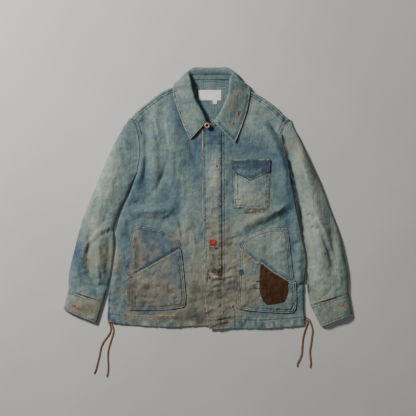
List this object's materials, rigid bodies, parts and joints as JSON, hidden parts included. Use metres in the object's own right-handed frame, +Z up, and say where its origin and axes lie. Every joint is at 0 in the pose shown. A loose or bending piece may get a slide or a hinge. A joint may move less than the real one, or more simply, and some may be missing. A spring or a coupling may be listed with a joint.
{
  "type": "patched boro jacket laid flat",
  "caption": "Worn denim work jacket laid flat on its back, with turned-down collar, patch pockets, mending patch and leather laces at the hem corners.",
  "frame": {"origin": "middle of the jacket's outline without its laces, on the surface it lies on", "axes": "+X towards the wearer's left side, +Y towards the collar, +Z up out of the front"},
  "size_m": [0.836, 0.8977, 0.0252],
  "materials": {
    "denim_pale": "matte faded twill",
    "denim": "matte worn twill",
    "denim_dirty": "matte soiled twill",
    "indigo": "matte dark twill",
    "brown_cloth": "matte",
    "label": "matte woven",
    "copper": "worn satin",
    "lace": "matte leather"
  },
  "bodies": {
    "root": {"back": "denim", "front_right": "denim_pale", "front_left": "denim_pale", "fly_placket": "denim_dirty", "sleeve_right": "denim_pale", "sleeve_left": "denim_pale", "cuff_right": "denim_dirty", "cuff_left": "denim_dirty", "collar_leaf": "denim", "collar_stand": "indigo", "pocket_right_backing": "denim", "pocket_right_pouch": "denim_dirty", "pocket_left_backing": "denim", "pocket_left_pouch": "denim_pale", "brown_patch": "brown_cloth", "chest_pocket": "denim_pale", "chest_flap": "indigo", "button": "copper", "label": "label", "size_tab": "label", "lace_right_outer": "lace", "lace_right_inner": "lace", "lace_left_inner": "lace", "lace_left_outer": "lace"}
  },
  "joints": []
}
